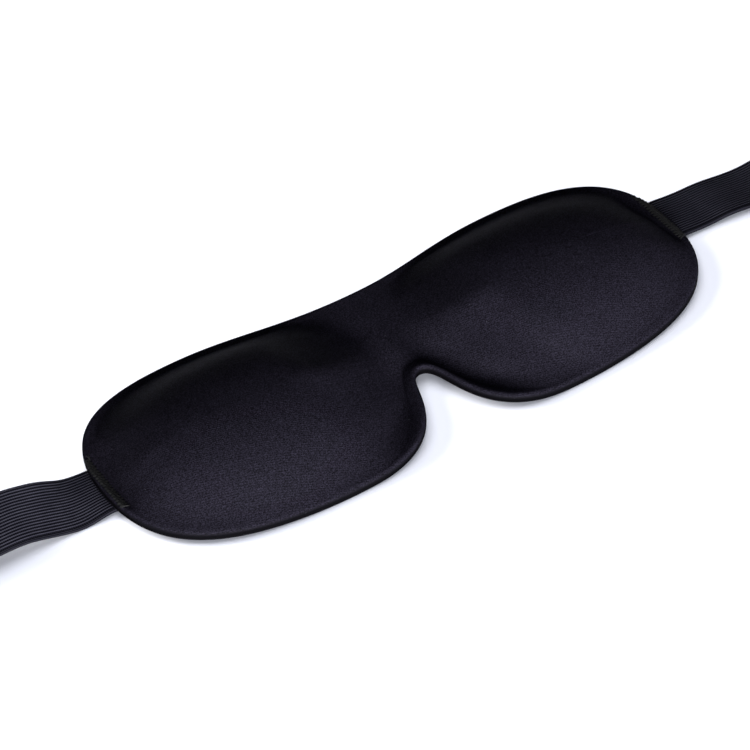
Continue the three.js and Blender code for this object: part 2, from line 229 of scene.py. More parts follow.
def rim_rise(x_squared):
    return BRIDGE_ARCH * np.exp(-x_squared / BRIDGE_ARCH_WIDTH**2) + TEMPLE_LIFT * x_squared / HALF_LENGTH**2


def rim_back(x):
    """Back of the rim in side view. Its lowest places rest on the table."""
    lowest = BRIDGE_ARCH_WIDTH**2 * math.log(
        BRIDGE_ARCH * HALF_LENGTH**2 / (TEMPLE_LIFT * BRIDGE_ARCH_WIDTH**2)
    )
    return rim_rise(x**2) - rim_rise(lowest)


def relaxed(values, held, rounds):
    """Values averaged again and again with their neighbours on the grid. held is 1 where they stay."""
    first = np.concatenate([QUADS[:, k] for k in range(4)])
    second = np.concatenate([QUADS[:, (k + 1) % 4] for k in range(4)])
    count = len(values)
    neighbours = np.bincount(first, minlength=count) + np.bincount(second, minlength=count)
    for _ in range(rounds):
        total = np.bincount(first, values[second], count) + np.bincount(second, values[first], count)
        values = held * values + (1 - held) * total / neighbours
    return values


def beyond_crease(x, y):
    """Distance outward from the crease that parts each lobe from the nose bridge."""
    return np.abs(x) - CREASE_NEAREST_X - CREASE_BEND * (y - CREASE_NEAREST_Y) ** 2


def crease_pinch(x, y, inset):
    """How far the mould presses the cover down along the two creases."""
    depth = CREASE_DEPTH * (0.3 + 0.7 * smoothstep(10.0, -8.0, y)) * smoothstep(-41.0, -22.0, y)
    return depth * bell(beyond_crease(x, y), 2.0, 6.0) * smoothstep(0.5, 7.0, inset)


def moulded_dome():
    """Share of the full dome height at each grid point: two lobes that part at the nose creases."""
    x, y, _, share = SKIN_GRID
    along_nose = np.clip(beyond_crease(x, y) / NOSE_SLOPE_LENGTH, 0, 1)
    nose_slope = 1 - (1 - along_nose) ** NOSE_SLOPE_POWER
    lobe = ((np.abs(x) - LOBE_MIDDLE_X) / LOBE_HALF_LENGTH) ** 2 + ((y - TIP_Y) / HALF_HEIGHT) ** 2
    crown = 1 - LOBE_FALL * np.clip(lobe, 0, 1.2)
    sharp = nose_slope * (1 - share**SHOULDER_POWER) * crown
    held = np.maximum(smoothstep(0.9, 1.0, share), smoothstep(25, 45, np.abs(x)))
    soft = relaxed(sharp, held, DOME_RELAX_ROUNDS)
    return soft / soft.max()


def rolled(inset, radius):
    """Drop of a rounded edge below its flat, by the distance in from the edge."""
    short = np.clip(radius - inset, 0, radius)
    return radius - np.sqrt(radius**2 - short**2)


def pressed_edge(inset):
    """How far the cover is pressed down at its cut edge."""
    return PRESS_DEPTH * rolled(inset, PRESS_ROLL) / PRESS_ROLL


def tack_dent(x, y):
    """How far the sewing pulls the cloth down round the bartacks."""
    return TACK_DENT * smoothstep(15.5, 12.0, np.abs(y - TACK_Y)) * bell(np.abs(x), TACK_X, 2.0)


def unevenness(x, y):
    """The small unevenness of a hand-pressed sheet."""
    broad = 0.16 * np.sin(x / 7.9 + 1.3 * np.sin(y / 11.3)) * np.sin(y / 9.1 + 0.7)
    small = 0.10 * np.sin(x / 4.3 + 0.9) * np.sin(y / 5.1 + x / 17.0)
    return broad + small


DOME = moulded_dome()


def mould_front(grid):
    """Top of the mask as the mould leaves it."""
    x, y, inset, _ = grid
    valley = VALLEY_DEPTH * notch_zone(x, y) * smoothstep(0.5, 7.0, inset)
    return rim_back(x) + RIM_THICKNESS + DOME_HEIGHT * DOME - valley + unevenness(x, y) * DOME**0.5


def simulated_rise():
    """Cloth under a little pressure, held where the mould pinches it: how far each grid point rises."""
    points = np.column_stack([SKIN_GRID[0], SKIN_GRID[1], mould_front(SKIN_GRID)])
    mesh = bpy.data.meshes.new("dome_cloth")
    mesh.from_pydata(points * MM, [], QUADS)
    cloth = bpy.data.objects.new("dome_cloth", mesh)
    bpy.context.scene.collection.objects.link(cloth)
    pinned = cloth.vertex_groups.new(name="pinned")
    for index, weight in enumerate(np.clip(1 - DOME / 0.22, 0, 1)):
        pinned.add([index], float(weight), "REPLACE")
    modifier = cloth.modifiers.new("cloth", "CLOTH")
    settings = modifier.settings
    settings.vertex_group_mass = "pinned"
    settings.quality = 6
    settings.mass = 0.2
    settings.tension_stiffness = 25
    settings.compression_stiffness = 25
    settings.shear_stiffness = 12
    settings.bending_stiffness = 3
    settings.use_pressure = True
    settings.uniform_pressure_force = 2.5
    settings.effector_weights.gravity = 0
    modifier.collision_settings.use_collision = False
    for step in range(1, CLOTH_FRAMES + 1):
        bpy.context.scene.frame_set(step)
    settled = cloth.evaluated_get(bpy.context.evaluated_depsgraph_get()).to_mesh()
    heights = np.array([vertex.co.z for vertex in settled.vertices]) / MM
    bpy.context.scene.frame_set(1)
    bpy.data.objects.remove(cloth)
    return np.clip(heights - points[:, 2], -CLOTH_CAP, CLOTH_CAP)


RISE = simulated_rise()


def rim_lip(y, inset):
    """A little extra height just inside the lower half of the rim."""
    return LIP_FILL * np.minimum(inset, 1.3) * smoothstep(8.0, -12.0, y)


def cover_top(grid):
    x, y, inset, share = grid
    pressed = pressed_edge(inset) + tack_dent(x, y) + crease_pinch(x, y, inset)
    return mould_front(grid) + RISE - pressed + rim_lip(y, inset) * share**6


def lining_under(grid):
    swell = DOME_FOAM_EXTRA * DOME**0.7
    curl = LINING_CURL * rolled(grid[2], 0.8) / 0.8
    return np.maximum(mould_front(grid) + RISE - RIM_THICKNESS - swell + curl, 0.0)


# ---- Mesh helpers ----

def piece(name, points, faces, material, slot, flat_faces=0, **attributes):
    """A mesh object from points in millimetres. Its last flat_faces faces are shaded flat."""
    mesh = bpy.data.meshes.new(name)
    mesh.from_pydata(np.asarray(points, float) * MM, [], faces)
    smooth = np.ones(len(mesh.polygons), bool)
    smooth[len(smooth) - flat_faces:] = False
    mesh.polygons.foreach_set("use_smooth", smooth)
    attributes["rest_place"] = points
    for key, values in attributes.items():
        values = np.asarray(values, np.float32)
        kind, field = ("FLOAT_VECTOR", "vector") if values.ndim == 2 else ("FLOAT", "value")
        mesh.attributes.new(key, kind, "POINT").data.foreach_set(field, values.ravel())
    mesh.materials.append(material)
    made = bpy.data.objects.new(name, mesh)
    bpy.context.scene.collection.objects.link(made)
    return made


def subdivide(obj, levels):
    modifier = obj.modifiers.new("smooth", "SUBSURF")
    modifier.levels = levels
    modifier.render_levels = levels


def sheet(name, grid, top, under, material, slot):
    """A closed sheet over the plan grid between two heights."""
    count = grid.shape[1]
    points = np.vstack([np.column_stack([grid[0], grid[1], z]) for z in (top, under)])
    spoke = np.arange(AROUND)
    following = (spoke + 1) % AROUND
    wall = np.column_stack([spoke, following, count + following, count + spoke])
    faces = np.vstack([QUADS, QUADS[:, ::-1] + count, wall])
    # Painted shade: 1 within 0.4 mm of the cut edge, where the knit is painted almost black.
    edge = np.concatenate([np.clip(1 - grid[2] / 0.4, 0, 1)] * 2)
    made = piece(name, points, faces, material, slot, rim_edge=edge)
    subdivide(made, 1)
    return made


def unit(vectors):
    return vectors / (np.linalg.norm(vectors, axis=-1)[..., None] + 1e-12)


def tubes(paths, radius, sides=6, up=(0, 0, 1)):
    """Points and faces of closed round strands. paths is (strands, points, 3); up is never along a strand."""
    paths = np.asarray(paths, float)
    strands, count, _ = paths.shape
    radius = np.broadcast_to(np.asarray(radius, float), (strands, count))
    tangent = unit(np.gradient(paths, axis=1))
    across = unit(np.cross(tangent, np.asarray(up, float).reshape(-1, 1, 3)))
    above = np.cross(across, tangent)
    angle = (2 * np.pi * np.arange(sides) / sides)[:, None]
    ring = across[:, :, None] * np.cos(angle) + above[:, :, None] * np.sin(angle)
    points = (paths[:, :, None] + ring * radius[:, :, None, None]).reshape(-1, 3)
    side = np.arange(sides)
    turn = (side + 1) % sides
    step = np.arange(count - 1)[:, None] * sides
    wall = np.stack([step + turn, step + side, step + sides + side, step + sides + turn], axis=-1)
    first = np.arange(strands)[:, None] * count * sides
    walls = (first[..., None] + wall.reshape(1, -1, 4)).reshape(-1, 4).tolist()
    starts = (first + side).tolist()
    ends = (first + (count - 1) * sides + side[::-1]).tolist()
    return points, walls + starts + ends


def joined(parts):
    """One point list and face list from several."""
    points, faces, offset = [], [], 0
    for some_points, some_faces in parts:
        points.append(some_points)
        faces += [[corner + offset for corner in face] for face in some_faces]
        offset += len(some_points)
    return np.vstack(points), faces


# ---- Measures of the elastic's weave ----

STRAP_Y = 5.5
STRAP_HALF_WIDTH = 10.5
BEAD_PITCH = 0.75
RIB_COUNT = 17
SELVEDGE_RIB = 0.55
SELVEDGE_GROOVE = 0.35
FAR_SELVEDGE = 1.1
FIRST_RIB_V = -STRAP_HALF_WIDTH + 2 * SELVEDGE_RIB + SELVEDGE_GROOVE
RIB_PITCH = (STRAP_HALF_WIDTH - FAR_SELVEDGE - FIRST_RIB_V) / RIB_COUNT

# ---- Node materials ----

class Look:
    """A node material built with short calls. Inputs can be numbers or sockets."""

    def __init__(self, name):
        self.material = bpy.data.materials.new(name)
        self.material.use_nodes = True
        self.tree = self.material.node_tree
        self.shader = self.tree.nodes["Principled BSDF"]

    def put(self, socket, value):
        if isinstance(value, bpy.types.NodeSocket):
            self.tree.links.new(value, socket)
        else:
            socket.default_value = value

    def node(self, kind, inputs, **settings):
        made = self.tree.nodes.new(kind)
        for key, value in settings.items():
            setattr(made, key, value)
        for key, value in inputs.items():
            self.put(made.inputs[key], value)
        return made

    def math(self, operation, *values):
        return self.node("ShaderNodeMath", dict(enumerate(values)), operation=operation).outputs[0]

    def add(self, *values):
        total = values[0]
        for value in values[1:]:
            total = self.math("ADD", total, value)
        return total

    def scale(self, value, factor, offset=0.0):
        return self.math("MULTIPLY_ADD", value, factor, offset)

    def attribute(self, name, output="Vector"):
        return self.node("ShaderNodeAttribute", {}, attribute_name=name).outputs[output]

    def split(self, vector):
        return self.node("ShaderNodeSeparateXYZ", {0: vector}).outputs

    def noise(self, vector, scale, detail=2.0, roughness=0.5):
        inputs = {"Vector": vector, "Scale": scale, "Detail": detail, "Roughness": roughness}
        return self.node("ShaderNodeTexNoise", inputs).outputs[0]

    def ramp(self, factor, low, high):
        """0 at low, 1 at high, clamped."""
        inputs = {"Value": factor, "From Min": low, "From Max": high}
        return self.node("ShaderNodeMapRange", inputs).outputs[0]

    def facing(self):
        """1 where the surface faces the camera, 0 at grazing view."""
        away = self.node("ShaderNodeLayerWeight", {"Blend": 0.5}).outputs["Facing"]
        return self.scale(away, -1.0, 1.0)

    def mix(self, factor, a, b):
        made = self.node("ShaderNodeMix", {0: factor, 6: a, 7: b}, data_type="RGBA")
        return made.outputs[2]

    def bump(self, height, depth_mm, strength=1.0, normal=None):
        inputs = {"Height": height, "Distance": depth_mm * MM, "Strength": strength}
        if normal is not None:
            inputs["Normal"] = normal
        return self.node("ShaderNodeBump", inputs).outputs[0]

    def finish(self, **inputs):
        for key, value in inputs.items():
            self.put(self.shader.inputs[key.replace("_", " ")], value)
        return self.material


def rgb(r, g, b):
    return (r, g, b, 1.0)


WALE_PITCH = 0.74
COURSE_PITCH = 0.62
WALE_TURN = math.radians(18)
LINT = rgb(0.12, 0.125, 0.14)


def lint_mask(look, place, spacing, size):
    """Sparse light specks of lint."""
    cells = look.node(
        "ShaderNodeTexVoronoi", {"Vector": place, "Scale": 1 / spacing, "Randomness": 1.0}
    )
    pick = look.node("ShaderNodeSeparateColor", {0: cells.outputs["Color"]}).outputs[0]
    speck = look.ramp(cells.outputs["Distance"], size / spacing, 0.4 * size / spacing)
    chosen = look.ramp(pick, 0.5, 0.52)
    torn = look.ramp(look.noise(place, 4.5, 1.0), 0.42, 0.5)
    return look.math("MULTIPLY", look.math("MULTIPLY", speck, chosen), torn)


def knit_look(name, deep, light):
    """Fine warp knit: rounded wales with stitches across them, faint wear and lint, and painted shade along
    the cut edge.
    """
    look = Look(name)
    place = look.attribute("rest_place")
    turned = look.node(
        "ShaderNodeVectorRotate", {"Vector": place, "Angle": WALE_TURN}, rotation_type="Z_AXIS"
    ).outputs[0]
    x, y, _ = look.split(turned)
    wale = look.math("FRACT", look.scale(y, 1 / WALE_PITCH))
    aside = look.math("ABSOLUTE", look.scale(wale, 2.0, -1.0))
    rounded = look.scale(look.math("POWER", aside, 2.2), -1.0, 1.0)
    course = look.add(look.scale(x, 1 / COURSE_PITCH), look.scale(aside, 0.5))
    stitch = look.math("SINE", look.scale(course, 2 * math.pi))
    fine = look.noise(place, 2.6, 3.0, 0.6)
    height = look.add(look.scale(rounded, 0.6), look.scale(stitch, 0.18), look.scale(fine, 0.7))
    fleck = look.ramp(look.noise(place, 2.4, 1.0, 0.6), 0.38, 0.74)
    worn = look.noise(place, 0.05, 3.0, 0.6)
    shade = look.add(look.scale(rounded, 0.22), fleck, look.scale(worn, 0.2, -0.1))
    cloth = look.mix(look.ramp(shade, 0.0, 1.1), deep, light)
    # Painted shade: the cloth turns almost black along the sheet's cut edge.
    cut = look.attribute("rim_edge", "Fac")
    cloth = look.mix(look.scale(cut, 0.95), cloth, deep)
    colour = look.mix(look.scale(lint_mask(look, place, 5.0, 0.24), 0.5), cloth, LINT)
    normal = look.bump(height, 0.10, 0.5)
    normal = look.bump(look.noise(place, 0.35, 2.0), 0.3, 0.2, normal)
    return look.finish(
        Base_Color=colour,
        Roughness=look.scale(fine, 0.15, 0.64),
        Specular_IOR_Level=look.math("MULTIPLY", look.facing(), 0.06),
        Normal=normal,
    )


def foam_look():
    """Dark open-cell foam, pitted where it was cut."""
    look = Look("foam")
    place = look.attribute("rest_place")
    cells = look.node("ShaderNodeTexVoronoi", {"Vector": place, "Scale": 3.2})
    pores = look.ramp(cells.outputs["Distance"], 0.15, 0.55)
    grain = look.noise(place, 5.0, 3.0, 0.7)
    colour = look.mix(look.scale(pores, 0.8), rgb(0.0022, 0.0021, 0.0031), rgb(0.0010, 0.0009, 0.0014))
    return look.finish(
        Base_Color=colour,
        Roughness=look.scale(grain, 0.1, 0.88),
        Specular_IOR_Level=0.04,
        Normal=look.bump(look.add(look.scale(pores, -1.0), look.scale(grain, 0.5)), 0.16, 0.7),
    )


def elastic_look():
    """Covered rubber ribs: filament yarn with painted shade in the grooves, at the holes and along the edges
    and selvedge, and a few specks of lint.
    """
    look = Look("elastic")
    place = look.attribute("rest_place")
    weave = look.attribute("weave")
    along, across, _ = look.split(weave)
    rib = look.math("FRACT", look.scale(across, 1 / RIB_PITCH, -FIRST_RIB_V / RIB_PITCH))
    beside_crown = look.math("ABSOLUTE", look.scale(rib, 2.0, -1.0))
    hole = look.math("COSINE", look.scale(along, 2 * math.pi / BEAD_PITCH))
    # Painted shade between the ribs, a little deeper at the holes.
    rib_gap_shade = look.math("MULTIPLY", look.ramp(beside_crown, 0.26, 0.52), look.scale(hole, 0.10, 0.90))
    # Painted shade: the rib crowns are painted darker at each hole of the weave, where they dip.
    painted_hole_shade = look.scale(look.ramp(hole, 0.1, 0.9), 0.35)
    in_ribs = look.math("GREATER_THAN", across, FIRST_RIB_V)
    # The groove attribute carries painted shade from the mesh; together with the rib gaps it darkens the
    # colour.
    groove = look.math("MAXIMUM", look.attribute("groove", "Fac"), look.math("MULTIPLY", rib_gap_shade, in_ribs))
    filament = look.math("SINE", look.add(look.scale(across, 46.0), look.scale(along, 9.0)))
    fine = look.noise(weave, 3.4, 3.0, 0.65)
    broad = look.noise(place, 0.11, 3.0, 0.6)
    shade = look.add(look.scale(fine, 0.6), look.scale(filament, 0.1), look.scale(broad, 0.5, -0.2))
    yarn = look.mix(look.ramp(shade, 0.1, 0.9), rgb(0.024, 0.024, 0.036), rgb(0.112, 0.112, 0.150))
    yarn = look.mix(painted_hole_shade, yarn, rgb(0.004, 0.004, 0.007))
    colour = look.mix(groove, yarn, rgb(0.0010, 0.0008, 0.0022))
    colour = look.mix(look.scale(lint_mask(look, place, 6.0, 0.3), 0.45), colour, LINT)
    height = look.add(look.scale(filament, 0.35), fine)
    return look.finish(
        Base_Color=colour,
        Roughness=look.scale(fine, 0.2, 0.42),
        Specular_IOR_Level=look.scale(groove, -0.12, 0.13),
        Normal=look.bump(height, 0.05, 0.45),
    )


def thread_look(name, deep, light, roughness):
    """Twisted sewing thread: plies wind round each strand."""
    look = Look(name)
    place = look.attribute("rest_place")
    x, y, z = look.split(place)
    twist = look.math("SINE", look.add(look.scale(x, 13.0), look.scale(y, 21.0), look.scale(z, 9.0)))
    fine = look.noise(place, 6.0, 2.0, 0.6)
    shade = look.add(look.scale(twist, 0.3, 0.35), look.scale(fine, 0.5))
    return look.finish(
        Base_Color=look.mix(look.ramp(shade, 0.1, 0.95), deep, light),
        Roughness=look.scale(fine, 0.2, roughness),
        Specular_IOR_Level=0.12,
        Normal=look.bump(look.add(twist, fine), 0.05, 0.6),
    )


def tape_look(name, deep, light, roughness):
    """Woven tape ground under the hooks or loops."""
    look = Look(name)
    place = look.attribute("rest_place")
    x, y, _ = look.split(place)
    warp = look.math("SINE", look.scale(x, 2 * math.pi / 0.55))
    weft = look.math("SINE", look.scale(y, 2 * math.pi / 0.42))
    check = look.math("MULTIPLY", warp, weft)
    fine = look.noise(place, 4.0, 3.0, 0.6)
    shade = look.add(look.scale(check, 0.3, 0.3), look.scale(fine, 0.5))
    return look.finish(
        Base_Color=look.mix(look.ramp(shade, 0.0, 0.9), deep, light),
        Roughness=look.scale(fine, 0.15, roughness),
        Specular_IOR_Level=0.35,
        Sheen_Weight=0.08,
        Normal=look.bump(look.add(check, fine), 0.09, 0.6),
    )


COVER_KNIT = knit_look("cover_knit", rgb(0.0016, 0.0013, 0.0024), rgb(0.0225, 0.0203, 0.0330))
LINING_KNIT = knit_look("lining_knit", rgb(0.0030, 0.0027, 0.0040), rgb(0.030, 0.028, 0.042))
FOAM = foam_look()
ELASTIC = elastic_look()
TACK_THREAD = thread_look("tack_thread", rgb(0.0010, 0.0010, 0.0011), rgb(0.0210, 0.0213, 0.0222), 0.5)
SEAM_THREAD = thread_look("seam_thread", rgb(0.005, 0.005, 0.006), rgb(0.026, 0.026, 0.030), 0.4)
HOOK_TAPE = tape_look("hook_tape", rgb(0.003, 0.003, 0.0035), rgb(0.014, 0.014, 0.016), 0.45)
LOOP_TAPE = tape_look("loop_tape", rgb(0.004, 0.004, 0.0045), rgb(0.016, 0.016, 0.018), 0.7)
HOOK_NYLON = thread_look("hook_nylon", rgb(0.010, 0.010, 0.011), rgb(0.030, 0.030, 0.033), 0.28)
LOOP_YARN = thread_look("loop_yarn", rgb(0.010, 0.010, 0.012), rgb(0.034, 0.034, 0.039), 0.6)

# ---- Mask layers ----


def build_mask():
    cover_height = cover_top(SKIN_GRID)
    cover = sheet("front_cover_knit", SKIN_GRID, cover_height, cover_height - SKIN, COVER_KNIT, "knit")
    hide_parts("front_cover")
    foam_top = cover_top(FOAM_GRID) - SKIN - BOND
    foam_under = lining_under(FOAM_GRID) + SKIN + BOND
    core = sheet("foam_core_moulded", FOAM_GRID, foam_top, foam_under, FOAM, "foam")
    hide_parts("foam_core")
    lining_height = lining_under(SKIN_GRID)
    lining = sheet("rear_lining_knit", SKIN_GRID, lining_height + SKIN, lining_height, LINING_KNIT, "knit")
    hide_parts("rear_lining")
    for layer in (cover, core, lining):
        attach(layer, "mask")


build_mask()

# ---- Elastic straps ----

STRAP_HALF_THICKNESS = 0.7
HINGE_X = 119.0
ROOT_END = 12.0
FIRST_X = 109.0
STEP = 0.25
LINE_SAMPLES = 31
GROOVE_DEPTH = 0.34
RUNG_DEPTH = 0.15
BEAD_HEIGHT = 0.05
RIB_SHAPE = [(0.0, 0.0), (0.2, 0.3), (0.36, 0.95), (0.64, 0.95), (0.8, 0.3)]
# Painted shade on the strap: how dark its two side edges, its near selvedge and its far edge are painted.
EDGE_SHADE = 0.97
SELVEDGE_SHADE = 0.7
FAR_EDGE_SHADE = 0.55


def node_points(node):
    return np.array([vertex.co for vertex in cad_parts[node].data.vertices]) / MM


def middle_of(values):
    return (max(values) + min(values)) / 2


def strap_line(side):
    """Distance out from the origin, height of the strap's middle and rise of its far edge."""
    stations = {}
    for part in ("anchor", "band"):
        for x, y, z in node_points(f"{side}_strap_{part}"):
            edge = 0 if y < STRAP_Y else 1
            stations.setdefault(round(abs(x), 2), ([], []))[edge].append(z)
    stations = {x: edges for x, edges in stations.items() if edges[0] and edges[1]}
    out = np.array(sorted(stations))
    near = np.array([middle_of(stations[x][0]) for x in out])
    far = np.array([middle_of(stations[x][1]) for x in out])
    tab_low, tab_high = box_mm(f"{side}_strap_tab")
    tab_out = np.linspace(*sorted(np.abs([tab_low[0], tab_high[0]])), 9)
    middle = np.r_[(near + far) / 2, np.full(9, (tab_low[2] + tab_high[2]) / 2)]
    twist = np.r_[(far - near) / 2, np.zeros(9)]
    return np.r_[out, tab_out], middle, twist


def smooth_line(values, width):
    """Moving average over an odd number of samples, twice, keeping the ends."""
    kernel = np.ones(width) / width
    half = width // 2
    for _ in range(2):
        values = np.convolve(np.pad(values, half, mode="edge"), kernel, mode="same")[half:-half]
    return values


def left_lean(out):
    """The left strap's near edge stays low at first while its far edge rises."""
    return 0.11 * bell(out - HINGE_X, 15.0, 9.0)


def right_drift(out):
    """The right strap swings a little towards the near side before it straightens."""
    return -2.2 * bell(out - HINGE_X, 38.0, 19.0)


def right_lean(out):
    """The right strap's near edge rides slightly higher for a stretch."""
    return -0.06 * bell(out - HINGE_X, 26.0, 18.0)


def strap_course(side):
    """Evenly stepped stations of a strap: distance walked, centre, tangent and across vectors."""
    out, middle, twist = strap_line(side)
    fine = np.arange(FIRST_X, out[-1], 0.1)
    z = smooth_line(np.interp(fine, out, middle), LINE_SAMPLES)
    lean = smooth_line(np.interp(fine, out, twist), LINE_SAMPLES) / STRAP_HALF_WIDTH
    y = np.full(len(fine), STRAP_Y)
    if side == "right":
        y = y + right_drift(fine)
        lean = lean + right_lean(fine)
        z = z - STRAP_HALF_WIDTH * right_lean(fine)
    else:
        lean = lean + left_lean(fine)
    sign = -1 if side == "left" else 1
    centre = np.column_stack([sign * fine, y, z])
    walked = np.r_[0, np.cumsum(np.linalg.norm(np.diff(centre, axis=0), axis=1))]
    at = np.arange(0, walked[-1] + STEP / 2, STEP)
    centre = np.column_stack([np.interp(at, walked, centre[:, k]) for k in range(3)])
    lean = np.interp(at, walked, lean)
    tangent = unit(np.gradient(centre, axis=0))
    across = np.column_stack([np.zeros(len(at)), np.sqrt(1 - lean**2), lean])
    across = unit(across - tangent * np.sum(across * tangent, axis=1)[:, None])
    return at, centre, tangent, across


def rib_profile():
    """Across positions and crown share (0 in a groove, 1 on top of a rib) of one strap face."""
    ribs = [(SELVEDGE_RIB, 1)] * 2 + [(SELVEDGE_GROOVE, 0)] + [(RIB_PITCH, 1)] * RIB_COUNT
    ribs.append((FAR_SELVEDGE, 1))
    start = -STRAP_HALF_WIDTH
    across, crown = [], []
    for width, raised in ribs:
        for phase, height in RIB_SHAPE:
            across.append(start + phase * width)
            crown.append(height * raised)
        start += width
    return np.array(across[1:]), np.array(crown[1:])


RIB_ACROSS, RIB_CROWN = rib_profile()


def end_cap(around, start, listed):
    """Quads and two triangles that close a strap's end. As listed they face -X."""
    top = (around - 2) // 2
    faces = [[start + around - 1, start, start + 2 * top]]
    for k in range(top - 1):
        faces.append([start + k, start + k + 1, start + 2 * top - k - 1, start + 2 * top - k])
    faces.append([start + top - 1, start + top, start + top + 1])
    return faces if listed else [face[::-1] for face in faces]


def strap_piece(name, course, first, last):
    """The ribbed strap between two stations, with its ends closed. hole is 1 at each hole of the weave."""
    at, centre, tangent, across = (values[first: last + 1] for values in course)
    above = np.cross(tangent, across)
    above *= np.sign(above[:, 2])[:, None]
    hole = 0.5 + 0.5 * np.cos(2 * np.pi * at / BEAD_PITCH)[:, None]
    dip = (RUNG_DEPTH + (GROOVE_DEPTH - RUNG_DEPTH) * hole) * (1 - RIB_CROWN)
    lift = STRAP_HALF_THICKNESS - dip - 2 * BEAD_HEIGHT * hole * RIB_CROWN
    v = np.broadcast_to(RIB_ACROSS, lift.shape)
    far_edge = smoothstep(STRAP_HALF_WIDTH - 1.4, STRAP_HALF_WIDTH - 0.9, RIB_ACROSS)
    # Painted shade: darker in the grooves, most at the holes, and along the far edge, near selvedge and side
    # edges.
    groove = np.maximum((1 - RIB_CROWN) ** 1.5 * (0.35 + 0.65 * hole), FAR_EDGE_SHADE * far_edge)
    edge_v = STRAP_HALF_WIDTH + 0.12 * hole
    level = np.zeros_like(hole)
    ring_v = np.hstack([v, edge_v, v[:, ::-1], -edge_v])
    ring_h = np.hstack([lift, level, -lift[:, ::-1], level])
    groove = np.maximum(groove, SELVEDGE_SHADE * (RIB_ACROSS < FIRST_RIB_V))
    ring_painted_shade = np.hstack([groove, level + EDGE_SHADE, groove[:, ::-1], level + EDGE_SHADE])
    points = centre[:, None] + across[:, None] * ring_v[..., None] + above[:, None] * ring_h[..., None]
    count, around = ring_v.shape
    corner = np.arange(around)
    turn = (corner + 1) % around
    step = np.arange(count - 1)[:, None] * around
    walls = np.stack([step + corner, step + turn, step + around + turn, step + around + corner], axis=-1)
    walls = walls.reshape(-1, 4)
    rightward = tangent[0, 0] > 0
    caps = end_cap(around, 0, rightward) + end_cap(around, (count - 1) * around, not rightward)
    faces = (walls[:, ::-1] if rightward else walls).tolist() + caps
    weave = np.stack([np.broadcast_to(at[:, None], ring_v.shape), ring_v, ring_h], axis=-1)
    return piece(
        name, points.reshape(-1, 3), faces, ELASTIC, "elastic", len(caps),
        weave=weave.reshape(-1, 3), groove=ring_painted_shade.ravel(),
    )


def station_at(course, out):
    return int(np.argmin(np.abs(np.abs(course[1][:, 0]) - out)))


def build_strap(side):
    """The strap as three pieces: sewn root, elastic band and closure end. Only the closure end is attached to
    a body.
    """
    course = strap_course(side)
    tab_low, tab_high = box_mm(f"{side}_strap_tab")
    tab_start = min(abs(tab_low[0]), abs(tab_high[0]))
    root_end = station_at(course, HINGE_X + ROOT_END)
    band_end = station_at(course, tab_start)

    root = strap_piece(f"{side}_strap_sewn_root", course, 0, root_end)
    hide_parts(f"{side}_strap_anchor")
    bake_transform(root)

    band = strap_piece(f"{side}_strap_elastic", course, root_end, band_end)
    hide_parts(f"{side}_strap_band")
    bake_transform(band)

    end = strap_piece(f"{side}_strap_closure_end", course, band_end, len(course[0]) - 1)
    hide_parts(f"{side}_strap_tab")
    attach(end, f"{side}_strap_end")


build_strap("left")
build_strap("right")

# ---- Bartacks ----

TACK_PERIOD = 1.4
THREAD_RADIUS = 0.27
TACK_LEG_POINTS = 9


def rim_x(y):
    """Where the outline of the right tip lies at a height in plan."""
    tip = RIM[np.abs(RIM[:, 0] - HALF_LENGTH) < 25]
    tip = tip[np.argsort(tip[:, 1])]
    return np.interp(y, tip[:, 1], tip[:, 0])


def flange_top(x, y):
    """Height of the cover on the flat border beside the strap."""
    inset = rim_x(y) - x
    pressed = pressed_edge(inset) + tack_dent(x, y)
    return rim_back(x) + RIM_THICKNESS - pressed + rim_lip(y, inset)


def zigzag(inner_x, outer_x, start_y, end_y, phase, side):
    """A satin zigzag over the rim: legs cross between needle holes and dip at each one."""
    legs = int(2 * (end_y - start_y) / TACK_PERIOD)
    hole_y = start_y + TACK_PERIOD / 2 * (np.arange(legs + 1) + phase)
    hole_y = hole_y + RANDOM.normal(0, 0.05, legs + 1)
    hole_x = np.where(np.arange(legs + 1) % 2 == 0, inner_x, outer_x) + RANDOM.normal(0, 0.08, legs + 1)
    hole_x = np.minimum(hole_x, rim_x(hole_y) - 0.35)
    share = np.arange(TACK_LEG_POINTS) / TACK_LEG_POINTS
    x = (hole_x[:-1, None] * (1 - share) + hole_x[1:, None] * share).ravel()
    y = (hole_y[:-1, None] * (1 - share) + hole_y[1:, None] * share).ravel()
    crown = np.tile(np.sin(np.pi * share) ** 0.6, legs)
    if side > 0:
        z = flange_top(x, y) + THREAD_RADIUS * 2.0 * crown - 0.3
    else:
        z = rim_back(x) - 0.1 - 2 * STRAP_HALF_THICKNESS - THREAD_RADIUS * 1.3 * crown + 0.25
    return np.column_stack([x, y, z])


def thread_end(x, y, reach, side):
    """A short loose end that curls away from the last stitch."""
    share = np.linspace(0, 1, 9)
    base = flange_top(x, y) if side > 0 else rim_back(x) - 0.3 - 2 * STRAP_HALF_THICKNESS
    lift = 0.1 + reach[2] * np.sin(np.pi * 0.75 * share)
    return np.column_stack([x + reach[0] * share, y + reach[1] * share, base + side * lift])


